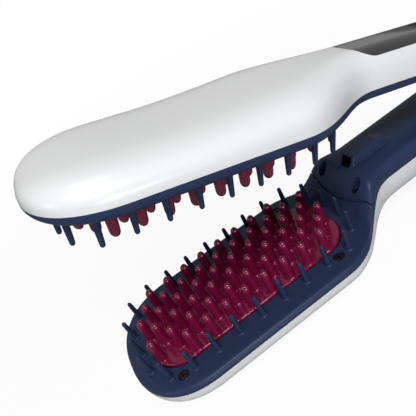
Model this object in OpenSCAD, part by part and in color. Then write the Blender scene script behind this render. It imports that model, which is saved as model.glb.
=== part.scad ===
// Two-armed hair straightening brush. Each arm is a shell with a toothed heated plate,
// and the arms fold together on a sprung hinge at the end of the handle.
// Millimetres. X runs from the head to the hinge, Z is up. The origin lies on the table
// under the centre of the lower brush plate. The arms are drawn open, as they rest.

/* [Part] */
// Piece to draw

/* [Arms] */
// Tip of the heads, measured from the middle of the brush plates
tip_reach = 64; // [60:1:80]
// Width of each head
head_w = 68.8; // [66:0.2:84]
// Width of each handle
handle_w = 32.6; // [31:0.2:38]
// Middle of the brush plates to the hinge axis
hinge_x = 182.6; // [175:1:240]
// Height of the hinge axis over the lower head's face
hinge_rise = 14.8; // [13:0.2:17]
// Distance between the two heads' faces when the arms are closed
head_gap = 19; // [17:0.5:26]
// Angle between the arms when they are open
open_angle = 16.85; // [8:0.5:24]
// Depth of each head behind its face
head_depth = 15.5; // [14:0.5:20]
// Wall of the casings
wall = 2; // [1.6:0.1:2.6]
// Length of the rounded end of each head
tip_len = 34; // [24:1:38]

/* [Handles] */
// Crown of the lower handle over the lower head's face
crown_lower = 19; // [16:0.5:19.5]
// Joint line of the lower handle over the lower head's face
part_lower = 11; // [8:0.5:13]
// Back of the lower handle behind the face, just behind the neck
back_lower = 7; // [4:0.5:12]
// Inner face of the upper handle, set back from the upper head's face
crown_upper = 1.6; // [1:0.1:3.5]
// Joint line of the upper handle behind the upper head's face
part_upper = 5.6; // [5:0.1:7]
// Back of the upper handle behind the upper head's face
back_upper = 21; // [19:0.5:26]
// Room between the hinge knuckles and the rear wall of the lower casing
rear_room = 5; // [4:0.2:10]

/* [Bezels] */
// Thickness of each head bezel over its brush plate's flange
bezel_t = 3; // [2.6:0.1:4]
// Joint line of the upper head behind its face
rim_upper = 4.6; // [3:0.1:5.4]
// Width of the rounded edge of each head bezel
bezel_edge = 3; // [2:0.5:6]
// Gap at the joint line between a casing and its cover
part_gap = 0.15; // [0.1:0.05:0.3]
// Gap between a head bezel and its handle cover
seam_gap = 0.9; // [0.6:0.1:1.2]
// Diameter of the bezel screws' heads
screw_head_d = 5; // [4:0.2:5.6]
// Diameter of all the screws' shanks
screw_d = 2.5; // [2:0.1:3]
// Running room round a screw or a button
room = 0.15; // [0.1:0.05:0.25]

/* [Brush plates] */
// Length of each brush plate
plate_len = 104.7; // [100:0.5:110]
// Width of each brush plate
plate_w = 41; // [39:0.5:44]
// Corner radius of each brush plate
plate_r = 15; // [8:0.5:18]
// Height of each brush plate over the bezel's face
plate_rise = 1.2; // [0.8:0.1:2]
// Gap round each brush plate
plate_gap = 0.5; // [0.3:0.1:0.8]
// Distance between teeth along a row
tooth_pitch = 10.25; // [9.5:0.05:10.6]
// Distance between rows of teeth
row_pitch = 7.2; // [6.6:0.1:7.4]
// Height of a tooth over its plate
tooth_h = 12.8; // [9:0.2:13.4]
// Radius of a tooth at its foot
tooth_r = 3; // [2.4:0.1:3.2]

/* [Pins] */
// Distance between pins along the straight rows
pin_pitch = 12; // [11.5:0.1:12.4]
// Half the distance between the two straight rows of pins
pin_y = 25; // [24:0.1:26.4]
// Height of a pin over the bezel
pin_h = 12; // [8:0.5:13]
// Radius of a pin at its foot
pin_r = 1.35; // [1.1:0.05:1.6]

/* [Ion outlet] */
// Height of the outlet's hood over the handle cover
duct_h = 4; // [3:0.5:5]
// Width of the hood's flat top
duct_w = 8; // [7:0.5:10]
// Width of the outlet
outlet_w = 5.4; // [4.4:0.2:6]

/* [Hinge] */
// Diameter of the hinge pin
hinge_pin_d = 5; // [4:0.5:6]
// Outer radius of the hinge knuckles
knuckle_r = 8; // [7:0.5:9]
// Width of the upper arm's knuckle
knuckle_w = 16; // [14:0.5:18]
// Side play of the upper knuckle between the ears
knuckle_play = 0.4; // [0.3:0.1:0.8]
// Thickness of each of the lower arm's ears
ear_t = 5.2; // [4:0.2:6]

/* [Controls] */
// Width of the dark inlay on the upper handle
inlay_w = 24.6; // [22:0.2:28]
// Length of the dark inlay
inlay_len = 92; // [80:1:94]
// Thickness of the dark inlay
inlay_t = 1.3; // [1:0.1:1.4]
// Diameter of the power button
power_d = 9; // [7:0.2:9.2]
// Diameter of the two temperature buttons
temp_d = 6.4; // [5.6:0.2:6.6]
// Travel of each button
button_travel = 0.6; // [0.3:0.1:0.7]
// Length of the display window
display_len = 18; // [12:1:20]
// Width of the display window
display_w = 9; // [7:0.5:10]

/* [Cord inlet] */
// Bore of the swivel gland, for a 6 mm cord
gland_bore_d = 6.2; // [5:0.2:7]
// Outer diameter of the gland's neck
gland_d = 11; // [10:0.5:12]
// Length of the gland outside the casing
gland_out = 5; // [3:0.5:8]

/* [Hidden] */
$fn = 48;
LOWER = 0;
UPPER = 1;
white = "whitesmoke";
navy = [0.14, 0.19, 0.32];
magenta = [0.55, 0.05, 0.25];
eps = 0.01;

// Outline of the arms in plan
neck_a = [38, 32];
neck_b = [82, 77];
tip_n = 2.4;
rear_n = 3;
rear_len = 14;
rear_x = [hinge_x + knuckle_r + wall + rear_room, hinge_x - knuckle_r - 1.4];

// Heights across each arm, over its head's face: joint line, inner face and back
part_head = [-bezel_t, -rim_upper];
part_handle = [part_lower, -part_upper];
crown_handle = [crown_lower, -crown_upper];
back_handle = [-back_lower, -back_upper];
part_from = [50, 44];
part_to = [75, 75];
crown_from = [54, 54];
crown_to = [70, 69];
back_from = [52, -15];
back_to = [87, 75];
swell_from = 100;
swell_to = 132;

// Rounded sides: width of the face's edge in the handle, how square each section is,
// and the share of its width that stays flat
face_edge_handle = [36, 5];
face_n = [2.4, 3.6];
back_n = [2.8, 2.2];
flat = 0.28;

face_z = head_depth;
hinge_z = face_z + hinge_rise;
tip_x = -tip_reach;

// Seam between bezel and handle cover, an arc that bows towards the head
seam_x = [60.5, 66.5];
seam_r = 70;

// Screws of the bezels and of the covers
bezel_screw_xy = [
    [[-44.4, -24.2], [-53, 16.8], [39.4, -25.1], [39.4, 25.1]],
    [[-48.7, -20.8], [-48.7, 20.8], [45.9, -23.4], [45.9, 23.4]]];
cover_screw_xy = [[[66, 11.8], [165, 9.4]], [[79, 11.9], [165, 9.4]]];
cover_hole_d = 4.2;
cover_seat = [2.4, 1.4];
screw_len = 7;
screw_sink = 1.9;
boss_wall = 1.6;
post_wall = 1.8;
well_wall = 1.2;

// Pins: straight rows and the arcs round the two ends
pin_rows = 8;
pin_first = [-38.6, -43.7];
arc_four = [[8.6, 16.8], [11.5, 5.7]];
arc_five = [[11.2, 21.3], [17.5, 11.8], [17.8, 0]];

// Brush plates along the heads, so that the teeth pass between each other when closed
plate_x = [0, 0.8];

// Teeth: number in each row, first tooth of each row in half pitches, and the pitches
// from the first column to the middle of the plate
tooth_mid = 3.25;
tooth_rows = [[8, 0], [10, -3], [10, -2], [10, -3], [10, -2], [8, -1]];

// Heater stack under each plate, from the plate down
flange_t = 1.5;
spreader_t = 1.5;
heater_t = 3.5;
tray_t = 1.5;
flange_h = -bezel_t - flange_t;
spreader_h = flange_h - spreader_t;
heater_h = spreader_h - heater_t;
tray_h = heater_h - tray_t;
flange_side = [60, 4];
flange_end = [18, 5];
spreader = [[92, 16], [78, 6]];
heater_size = [66, 18];
tray_rim = 4;
tray_room = 0.2;
tray_ribs_x = [-28, 28];
rib_t = 2;
ion_ribs_x = [90, 106];
board_ribs_x = [122, 150];

// Ion outlet along the cover
duct_front = 69;
duct_top_front = 74;
duct_top_rear = 89;
duct_rear = 98;
duct_top = crown_lower + duct_h;
duct_slope = 1.1;
outlet_h = 4.2;
outlet_floor = duct_top - outlet_h - 0.8;
nozzle_x = 78;

lamp_x = 119;
lamp_d = 3.4;

// Inlay and what it carries
inlay_x = 74;
inlay_r = 8;
inlay_ledge = 3;
window_sink = 0.2;
window_t = 0.7;
display_x = inlay_x + inlay_len - 43;
plus_x = inlay_x + inlay_len - 28;
minus_x = inlay_x + inlay_len - 20;
power_x = inlay_x + inlay_len - 11;
board_h = -back_upper + 9;
board_t = 1.6;
board_low = 3;
ion_box_h = -2;
switch_h = 3.2;
button_gap = button_travel + 0.15;
button_rim = 0.5;
button_drop = 0.55;

bumper_x = 104;
bumper_y = 9;
bumper_room = 0.15;
bumper_h = head_gap + crown_upper - crown_lower - bumper_room;
pocket_room = 1.2;

gland_h = 12.5;
gland_flange_t = 1.6;
gland_flange_r = gland_d / 2 + 0.9;
gland_in = wall + gland_flange_t + 3.8;

bore_room = 0.05;
spring_wire = 1.3;
spring_r = (hinge_pin_d + spring_wire) / 2 + 0.35;
spring_turns = 3.5;
spring_pitch = 1.75;
spring_leg = 7;
spring_slot = spring_turns * spring_pitch + spring_wire + 0.9;
cap_d = hinge_pin_d + 2.4;
cap_t = 1.6;

// Smooth step from 0 at a to 1 at b
function ease(a, b, x) =
    let (t = min(1, max(0, (x - a) / (b - a)))) t * t * (3 - 2 * t);
function blend(a, b, t) = a + (b - a) * t;
// Rise from 0 at an end to 1 at the full section, as a superellipse
function nose(d, n) =
    let (t = 1 - min(1, max(0, d))) pow(1 - pow(t, n), 1 / n);
function ends(arm, x, inset) =
    nose((x - tip_x - inset) / (tip_len - inset), tip_n)
    * nose((rear_x[arm] - inset - x) / (rear_len - inset), rear_n);

// Half width, joint line, inner face and back of an arm at x
function half_w(arm, x, inset) =
    (blend(head_w, handle_w, ease(neck_a[arm], neck_b[arm], x)) / 2 - inset) * ends(arm, x, inset);
function part_z(arm, x) =
    blend(part_head[arm], part_handle[arm], ease(part_from[arm], part_to[arm], x));
function crown_z(arm, x) =
    blend(0, crown_handle[arm], ease(crown_from[arm], crown_to[arm], x));
function back_z(arm, x) =
    let (neck = blend(-head_depth, back_handle[arm], ease(back_from[arm], back_to[arm], x)))
    arm == LOWER ? blend(neck, -head_depth, ease(swell_from, swell_to, x)) : neck;
function face_edge(arm, x) =
    blend(bezel_edge, face_edge_handle[arm], ease(crown_from[arm], crown_to[arm], x));
function face_sq(arm, x) = blend(face_n[0], face_n[1], ease(crown_from[arm], crown_to[arm], x));
function back_sq(arm, x) = blend(back_n[0], back_n[1], ease(neck_a[arm], neck_b[arm], x));

// Places of the cross sections, closer together where the shape turns
function span(a, b, step) = let (n = ceil((b - a) / step)) [for (i = [0 : n - 1]) a + (b - a) * i / n];
function stations(arm, inset) =
    let (a = tip_x + inset, b = rear_x[arm] - inset, k = tip_len - inset, q = rear_len - inset)
    concat([for (t = [7, 16, 27, 39, 52, 65, 78]) a + k * (1 - cos(t))],
        span(a + k, neck_a[arm], 20), span(neck_a[arm], 52, 5.4), span(52, 84, 3.6), span(84, 88, 4),
        span(88, swell_from, 12), span(swell_from, swell_to, 8), span(swell_to, b - q, 30),
        [for (t = [90, 66, 48, 32, 18, 8]) b - q * (1 - cos(t))]);

// One cross section, from side to side at height z0 over z1, with superelliptic edges
function section(x, w, z0, z1, edge, n, steps) =
    let (r = min(edge, w * (1 - flat)), d = z1 - z0)
    let (half = [for (i = [0 : steps]) let (a = 90 * i / steps)
        [w - r + r * pow(cos(a), 2 / n), z0 + d * pow(sin(a), 2 / n)]])
    concat([for (p = half) [x, p[0], p[1]]], [for (i = [steps : -1 : 0]) [x, -half[i][0], half[i][1]]]);
function capped(x, w, z0, lift, loop) = concat([[x, w, z0 + lift]], loop, [[x, -w, z0 + lift]]);

// Solid through a list of equal cross sections
module loft(loops) {
    n = len(loops[0]);
    m = len(loops);
    points = [for (loop = loops) each loop];
    quads = [for (i = [0 : m - 2], j = [0 : n - 1])
        let (a = i * n + j, b = i * n + (j + 1) % n) each [[a, b, a + n], [b, b + n, a + n]]];
    first = [for (j = [n - 1 : -1 : 0]) j];
    last = [for (j = [0 : n - 1]) (m - 1) * n + j];
    polyhedron(points, concat(quads, [first, last]));
}

// Back casing and face of an arm as solid forms, drawn in by inset
module back_form(arm, inset = 0, lift = 0, steps = 7) {
    loft([for (x = stations(arm, inset))
        let (w = half_w(arm, x, inset), z = part_z(arm, x), e = ends(arm, x, inset))
        let (loop = section(x, w, z, z + (back_z(arm, x) + inset - z) * e, w, back_sq(arm, x), steps))
        lift > 0 ? [for (p = capped(x, w, z, lift, loop)) p] : loop]);
}
module face_form(arm, inset = 0, gap = part_gap, lift = 0, steps = 6) {
    loft([for (x = stations(arm, inset))
        let (w = half_w(arm, x, inset), z = part_z(arm, x) + gap, e = ends(arm, x, inset))
        let (top = z + (crown_z(arm, x) - inset - z) * e)
        let (loop = section(x, w, z, top, face_edge(arm, x) - inset / 2, face_sq(arm, x), steps))
        let (ring = lift > 0 ? capped(x, w, z, -lift, loop) : loop)
        [for (i = [len(ring) - 1 : -1 : 0]) ring[i]]]);
}

// Placement: an arm is drawn face up with its face at height 0
module open_pose() {
    translate([hinge_x, 0, hinge_z]) rotate([0, open_angle, 0])
        translate([-hinge_x, 0, -hinge_z]) children();
}
module on_arm(arm) {
    if (arm == LOWER) translate([0, 0, face_z]) children();
    else open_pose() translate([0, 0, face_z + head_gap]) rotate([180, 0, 0]) children();
}

// Region in plan on the head's side of the seam, kept back by gap
module head_region(arm, gap) {
    translate([0, 0, -50]) linear_extrude(100) union() {
        translate([seam_x[arm] + seam_r - gap, 0]) difference() {
            translate([-seam_r - 200, -60]) square([200 + seam_r * 0.4, 120]);
            circle(seam_r, $fn = 96);
        }
    }
}
module handle_region(arm, gap) {
    translate([0, 0, -50]) linear_extrude(100) difference() {
        translate([seam_x[arm] + gap, -60]) square([300, 120]);
        difference() {
            translate([seam_x[arm] - 10, -61]) square([seam_r * 0.4 + 10, 122]);
            translate([seam_x[arm] + seam_r + gap, 0]) circle(seam_r, $fn = 96);
        }
    }
}
module plate_outline(grow = 0) {
    r = plate_r + grow;
    x = plate_len / 2 - plate_r;
    y = plate_w / 2 - plate_r;
    for (sx = [-x, x], sy = [-y, y]) translate([sx, sy]) circle(r);
    square([plate_len + 2 * grow, 2 * y], center = true);
    square([2 * x, plate_w + 2 * grow], center = true);
}

module plate_flange(grow = 0) {
    square([flange_side[0] + 2 * grow, plate_w + flange_side[1] + 2 * grow], center = true);
    square([plate_len + flange_end[1] + 2 * grow, flange_end[0] + 2 * grow], center = true);
}

// Pins, teeth and screws
module pin() {
    rotate_extrude() polygon([[0, -1], [pin_r * 1.5, -1], [pin_r * 1.5, 0], [pin_r * 1.1, 0.9],
        [pin_r * 0.7, pin_h - 0.9], [pin_r * 0.5, pin_h - 0.3], [pin_r * 0.2, pin_h], [0, pin_h]]);
}
module tooth() {
    rotate_extrude() polygon([[0, -0.5], [tooth_r, -0.5], [tooth_r, 0.2], [tooth_r * 0.82, 1.6],
        [tooth_r * 0.68, tooth_h * 0.45], [tooth_r * 0.58, tooth_h - 1.8], [tooth_r * 0.44, tooth_h - 0.7],
        [tooth_r * 0.2, tooth_h - 0.1], [0, tooth_h]]);
}
function pin_places(arm) =
    let (first = pin_first[arm], last = first + pin_pitch * (pin_rows - 1),
        tip = arm == LOWER ? arc_five : arc_four, heel = arm == LOWER ? arc_four : arc_five)
    concat([for (i = [0 : pin_rows - 1], s = [-1, 1]) [first + i * pin_pitch, s * pin_y]],
        [for (p = tip, s = p[1] > 0 ? [-1, 1] : [1]) [first - p[0], s * p[1]]],
        [for (p = heel, s = p[1] > 0 ? [-1, 1] : [1]) [last + p[0], s * p[1]]]);
module screw(head_d, head_h, length) {
    difference() {
        union() {
            cylinder(d = head_d, h = head_h);
            translate([0, 0, -length]) cylinder(d = screw_d, h = length + eps);
        }
        for (a = [0, 90]) rotate(a) translate([-head_d * 0.3, -0.35, head_h - 0.8])
            cube([head_d * 0.6, 0.7, 1]);
    }
}
module both_sides(points) {
    for (p = points, s = [-1, 1]) translate([p[0], s * p[1], 0]) children();
}

// Casings
module shell(arm) {
    difference() {
        back_form(arm);
        difference() {
            back_form(arm, wall, 2, 6);
            for (p = bezel_screw_xy[arm]) translate([p[0], p[1], -30])
                cylinder(d = screw_d + 2 * boss_wall, h = 30 + part_head[arm] - 0.05);
            for (p = cover_screw_xy[arm], s = [-1, 1]) translate([p[0], s * p[1], -30])
                cylinder(d = screw_d + 2 * post_wall, h = 30 + part_z(arm, p[0]) - 0.1);
            for (x = tray_ribs_x) translate([x - rib_t / 2, -12, -30]) cube([rib_t, 24, 30 + tray_h]);
            if (arm == LOWER) lower_ribs();
        }
        for (p = bezel_screw_xy[arm]) translate([p[0], p[1], -bezel_t - screw_len])
            cylinder(d = screw_d + 2 * bore_room, h = 20);
        for (p = cover_screw_xy[arm], s = [-1, 1])
            translate([p[0], s * p[1], part_z(arm, p[0]) - screw_len])
                cylinder(d = screw_d + 2 * bore_room, h = 40);
        if (arm == LOWER) translate([rear_x[LOWER] - 14, 0, gland_h - face_z]) rotate([0, 90, 0])
            cylinder(d = gland_d + 4 * bore_room, h = 20);
        if (arm == UPPER) inlay_seat();
    }
}
module lower_ribs() {
    for (x = ion_ribs_x) translate([x, -7, -20]) cube([rib_t, 14, 20 + ion_box_h]);
    for (x = board_ribs_x) translate([x, -9, -20]) cube([rib_t, 18, 20 + board_low]);
}

// Head bezel with its pins
module bezel(arm) {
    color(navy) difference() {
        union() {
            intersection() {
                face_form(arm);
                head_region(arm, 0);
            }
            for (p = pin_places(arm)) translate([p[0], p[1], 0]) pin();
        }
        translate([plate_x[arm], 0, 0]) {
            translate([0, 0, -20]) linear_extrude(40) plate_outline(plate_gap);
            translate([0, 0, flange_h - 5]) linear_extrude(flange_t + 5.1) plate_flange(room);
        }
        for (p = bezel_screw_xy[arm]) translate([p[0], p[1], -screw_sink]) {
            cylinder(d = screw_head_d + 2 * room, h = 10);
            translate([0, 0, -5]) cylinder(d = screw_d + 2 * room, h = 10);
        }
    }
}
module brush_plate(arm) {
    y0 = row_pitch * (len(tooth_rows) - 1) / 2;
    x0 = -tooth_pitch * tooth_mid;
    color(magenta) translate([plate_x[arm], 0, 0]) {
        translate([0, 0, flange_h + flange_t]) linear_extrude(bezel_t + plate_rise) plate_outline();
        translate([0, 0, flange_h]) linear_extrude(flange_t + eps) plate_flange();
        for (j = [0 : len(tooth_rows) - 1], i = [0 : tooth_rows[j][0] - 1])
            translate([x0 + tooth_pitch * (i + tooth_rows[j][1] / 2), j * row_pitch - y0, plate_rise])
                tooth();
    }
}
module heat_spreader() {
    color("silver") translate([0, 0, spreader_h]) linear_extrude(spreader_t) {
        for (s = spreader) square([s[0], plate_w - s[1]], center = true);
    }
}
module heater() {
    color("dimgray") translate([-heater_size[0] / 2, -heater_size[1] / 2, heater_h])
        cube([heater_size[0], heater_size[1], heater_t]);
}
module heater_tray() {
    x = heater_size[0] / 2 + tray_room;
    y = heater_size[1] / 2 + tray_room;
    color("tan") difference() {
        translate([-x - tray_rim, -y - tray_rim, tray_h])
            cube([2 * (x + tray_rim), 2 * (y + tray_rim), tray_t + 1.2]);
        translate([-x, -y, heater_h]) cube([2 * x, 2 * y, 5]);
    }
}
module bezel_screws(arm) {
    color("black") for (p = bezel_screw_xy[arm]) translate([p[0], p[1], -screw_sink])
        screw(screw_head_d, 1.5, screw_len - 0.6);
}

// Handle cover of the lower arm, with the ion hood and the hinge ears
module duct_body() {
    intersection() {
        rotate([90, 0, 0]) linear_extrude(40, center = true) polygon([[duct_front, crown_lower - 4],
            [duct_top_front, duct_top], [duct_top_rear, duct_top], [duct_rear, crown_lower - 1],
            [duct_rear, crown_lower - 4]]);
        translate([duct_front - 5, 0, 0]) rotate([90, 0, 90]) linear_extrude(60) polygon([
            [-duct_w / 2 - duct_slope, crown_lower - 4], [-duct_w / 2 - duct_slope, crown_lower - 0.5],
            [-duct_w / 2, duct_top], [duct_w / 2, duct_top],
            [duct_w / 2 + duct_slope, crown_lower - 0.5], [duct_w / 2 + duct_slope, crown_lower - 4]]);
    }
}
module cover_bosses(arm) {
    for (p = cover_screw_xy[arm], s = [-1, 1])
        translate([p[0], s * p[1], part_z(arm, p[0]) + part_gap - 0.1])
            cylinder(d = cover_hole_d + 2 * well_wall, h = 30);
}
module cover_holes(arm) {
    for (p = cover_screw_xy[arm], s = [-1, 1]) translate([p[0], s * p[1], part_z(arm, p[0])]) {
        translate([0, 0, cover_seat[arm]]) cylinder(d = cover_hole_d, h = 40);
        translate([0, 0, -1]) cylinder(d = screw_d + 2 * room, h = 10);
    }
}
module lower_cover() {
    ear_y = knuckle_w / 2 + knuckle_play;
    color(navy) difference() {
        union() {
            difference() {
                union() {
                    intersection() {
                        handle_region(LOWER, seam_gap);
                        face_form(LOWER);
                    }
                    duct_body();
                }
                difference() {
                    face_form(LOWER, wall, part_gap, 2, 5);
                    cover_bosses(LOWER);
                }
            }
            for (s = [-1, 1]) translate([hinge_x, s * (ear_y + ear_t / 2), hinge_rise])
                rotate([90, 0, 0]) linear_extrude(ear_t, center = true) {
                    circle(knuckle_r);
                    translate([-knuckle_r, part_lower + 0.4 - hinge_rise])
                        square([2 * knuckle_r, hinge_rise - part_lower]);
                }
        }
        translate([hinge_x - knuckle_r - 1.6, -ear_y, part_lower - 6])
            cube([60, 2 * ear_y, 40]);
        translate([duct_front - 6, -outlet_w / 2, outlet_floor])
            cube([nozzle_x - duct_front + 16, outlet_w, outlet_h]);
        translate([hinge_x, 0, hinge_rise]) rotate([90, 0, 0]) {
            cylinder(d = hinge_pin_d + 2 * bore_room, h = 60, center = true);
            for (s = [0, 180]) rotate([s, 0, 0]) translate([0, 0, ear_y + ear_t - cap_t - 0.1])
                cylinder(d = cap_d + 4 * bore_room, h = 20);
        }
        cover_holes(LOWER);
        translate([lamp_x, 0, 0]) cylinder(d = lamp_d + 2 * room, h = 40);
    }
}
module cover_screws(arm) {
    color("black") for (p = cover_screw_xy[arm], s = [-1, 1])
        translate([p[0], s * p[1], part_z(arm, p[0]) + cover_seat[arm]])
            screw(cover_hole_d - 0.5, 1.6, screw_len + cover_seat[arm] - 0.5);
}

// Ion parts
module ion_nozzle() {
    color("black") difference() {
        translate([nozzle_x, -outlet_w / 2 + 0.1, outlet_floor + 0.1])
            cube([6, outlet_w - 0.2, outlet_h - 0.2]);
        translate([nozzle_x - 1, 0, outlet_floor + outlet_h / 2]) rotate([0, 90, 0])
            cylinder(d = 2.6, h = 4);
        translate([nozzle_x - 1, 0, outlet_floor + outlet_h / 2]) rotate([0, 90, 0])
            cylinder(d = 0.8 + 2 * bore_room, h = 20);
    }
}
module ion_emitter() {
    color("gold") translate([nozzle_x + 0.4, 0, outlet_floor + outlet_h / 2]) rotate([0, 90, 0]) {
        cylinder(d1 = 0.1, d2 = 0.8, h = 1.8);
        translate([0, 0, 1.8]) cylinder(d = 0.8, h = 5);
    }
}
module ion_generator() {
    color("darkslategray") translate([86, -8, ion_box_h]) cube([26, 16, 11]);
}
module ion_lamp() {
    color("red") translate([lamp_x, 0, crown_lower - wall - 1]) {
        cylinder(d = lamp_d, h = wall + 1.2);
        cylinder(d = lamp_d + 2, h = 0.9);
    }
}
module power_board() {
    color("darkgreen") translate([118, -11, board_low]) cube([40, 22, board_t]);
    color("dimgray") {
        translate([122, -5, board_low + board_t - eps]) cube([14, 10, 7]);
        translate([144, -2, board_low + board_t - eps]) cylinder(d = 9, h = 7.5);
        translate([153, 5, board_low + board_t - eps]) cylinder(d = 5.5, h = 6);
    }
}
module cord_gland() {
    x = rear_x[LOWER];
    color([0.12, 0.14, 0.2]) translate([x - gland_in, 0, gland_h - face_z]) rotate([0, 90, 0])
        difference() {
            union() {
                cylinder(r = gland_flange_r, h = gland_flange_t);
                cylinder(d = gland_d, h = gland_in + gland_out);
            }
            translate([0, 0, -1]) cylinder(d = gland_bore_d, h = 40);
        }
}

// Handle cover of the upper arm, with the pocket for the hood and the hinge knuckle
module duct_pocket(grow) {
    a = duct_front - pocket_room - grow;
    b = duct_rear + pocket_room + grow;
    w = duct_w / 2 + duct_slope + pocket_room + grow;
    depth = duct_top + pocket_room - head_gap;
    translate([a, -w, -depth - grow])
        cube([b - a, 2 * w, depth + grow - (grow > 0 ? crown_upper + 0.5 : -5)]);
}
module upper_cover() {
    hinge_h = head_gap - hinge_rise;
    color(navy) difference() {
        union() {
            difference() {
                intersection() {
                    handle_region(UPPER, seam_gap);
                    face_form(UPPER);
                }
                difference() {
                    face_form(UPPER, 1.7, part_gap, 2, 5);
                    cover_bosses(UPPER);
                }
            }
            intersection() {
                duct_pocket(1.4);
                handle_region(UPPER, seam_gap);
            }
            for (x = [display_x - 10, display_x + 31]) translate([x, -8, board_h + board_t])
                cube([2, 16, -board_h - board_t - crown_upper - 0.8]);
            rotate([90, 0, 0]) linear_extrude(knuckle_w, center = true) {
                translate([hinge_x, hinge_h]) circle(knuckle_r);
                polygon([[hinge_x - knuckle_r - 9, -part_upper + 0.3],
                    [hinge_x + knuckle_r * 0.5, -part_upper + 0.3],
                    [hinge_x + knuckle_r, hinge_h], [hinge_x - knuckle_r, hinge_h],
                    [hinge_x - knuckle_r - 0.8, 0.4 - crown_upper],
                    [hinge_x - knuckle_r - 9, -crown_upper - 0.4]]);
            }
        }
        duct_pocket(0);
        translate([hinge_x, 0, hinge_h]) rotate([90, 0, 0]) {
            cylinder(d = hinge_pin_d + 2 * bore_room, h = 60, center = true);
            cylinder(r = knuckle_r + 1, h = spring_slot, center = true);
        }
        cover_holes(UPPER);
        both_sides([[bumper_x, bumper_y]]) translate([0, 0, -crown_upper - 0.8]) cylinder(d = 5.1, h = 5);
    }
}
module bumpers() {
    color("black") both_sides([[bumper_x, bumper_y]]) translate([0, 0, -crown_upper - 0.7])
        cylinder(d = 5, h = 0.7 + bumper_h);
}

// Inlay, display and buttons on the back of the upper handle
module inlay_plan(grow) {
    x = inlay_x + inlay_r;
    len_x = inlay_len - 2 * inlay_r;
    y = inlay_w / 2 - inlay_r;
    for (a = [x, x + len_x], s = [-y, y]) translate([a, s]) circle(inlay_r + grow);
    translate([inlay_x - grow, -y]) square([inlay_len + 2 * grow, 2 * y]);
    translate([x, -inlay_w / 2 - grow]) square([len_x, inlay_w + 2 * grow]);
}
module inlay_prism(grow) {
    translate([0, 0, -back_upper - 5]) linear_extrude(15) inlay_plan(grow);
}
module inlay_seat() {
    difference() {
        inlay_prism(room);
        back_form(UPPER, inlay_t + 0.1);
    }
    inlay_prism(-inlay_ledge);
}
module handle_inlay() {
    color([0.16, 0.16, 0.17]) difference() {
        intersection() {
            back_form(UPPER);
            inlay_prism(0);
        }
        back_form(UPPER, inlay_t, 3);
        translate([display_x - display_len / 2 - 0.1, -display_w / 2 - 0.1, -back_upper - 1])
            cube([display_len + 0.2, display_w + 0.2, 1 + window_sink + window_t]);
        translate([display_x - display_len / 2 + 1, -display_w / 2 + 1, -back_upper - 1])
            cube([display_len - 2, display_w - 2, 12]);
        translate([power_x, 0, -back_upper - 1]) cylinder(d = power_d + 2 * room, h = 12);
        for (x = [plus_x, minus_x]) translate([x, 0, -back_upper - 1]) cylinder(d = temp_d + 2 * room, h = 12);
    }
}
module display_window() {
    color("black") translate([display_x - display_len / 2, -display_w / 2, window_sink - back_upper])
        cube([display_len, display_w, window_t]);
}
module button(x, d) {
    stem = board_h - switch_h - button_gap + back_upper;
    color("gray") translate([x, 0, -back_upper]) {
        translate([0, 0, -0.5]) cylinder(d = d, h = inlay_t + button_drop + 1);
        translate([0, 0, inlay_t + button_drop]) cylinder(d = d + 2 * button_rim, h = 0.9);
        cylinder(d = 3, h = stem);
    }
}
module control_board() {
    color("darkgreen") translate([display_x - 12, -9, board_h]) cube([48, 18, board_t]);
    color("dimgray") {
        translate([display_x - display_len / 2 + 1.2, -display_w / 2 + 1.2, -back_upper + 1.6])
            cube([display_len - 2.4, display_w - 2.4, 4]);
        translate([display_x - 4, -3, -back_upper + 5.5]) cube([8, 6, board_h + back_upper - 5.4]);
    }
}
module button_switches() {
    color("silver") {
        for (x = [plus_x, minus_x, power_x]) translate([x - 3, -3, board_h - switch_h]) cube([6, 6, switch_h]);
    }
}

// Hinge hardware, drawn on the axis
module at_hinge() {
    translate([hinge_x, 0, hinge_z]) rotate([90, 0, 0]) children();
}
module hinge_pin() {
    half = knuckle_w / 2 + knuckle_play + ear_t - cap_t - 0.2;
    color("silver") at_hinge() cylinder(d = hinge_pin_d, h = 2 * half, center = true);
}
module hinge_caps() {
    color("dimgray") for (s = [0, 180]) at_hinge() rotate([s, 0, 0])
        translate([0, 0, knuckle_w / 2 + knuckle_play + ear_t - cap_t]) cylinder(d = cap_d, h = cap_t);
}
// Coil round the pin from a lower leg to an upper one, both pointing at the heads
module torsion_spring() {
    steps = 18;
    rings = spring_turns * steps;
    coil = [for (i = [0 : rings])
        let (a = 270 + 360 * i / steps, z = spring_pitch * (i / steps - spring_turns / 2))
        [for (k = [0 : 5]) let (r = spring_r + spring_wire / 2 * cos(60 * k))
            [r * cos(a), r * sin(a), z + spring_wire / 2 * sin(60 * k)]]];
    line = [for (i = [0 : rings]) let (a = 270 + 360 * i / steps)
        [spring_r * cos(a), spring_r * sin(a), spring_pitch * i / steps]];
    echo(spring_gap = min([for (i = [0 : rings], j = [i + steps / 2 : 1 : rings]) norm(line[i] - line[j])])
        - spring_wire);
    color("silver") at_hinge() loft(concat([[for (p = coil[0]) p - [spring_leg, 0, 0]]], coil,
        [[for (p = coil[rings]) p - [spring_leg, 0, 0]]]));
}

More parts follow.
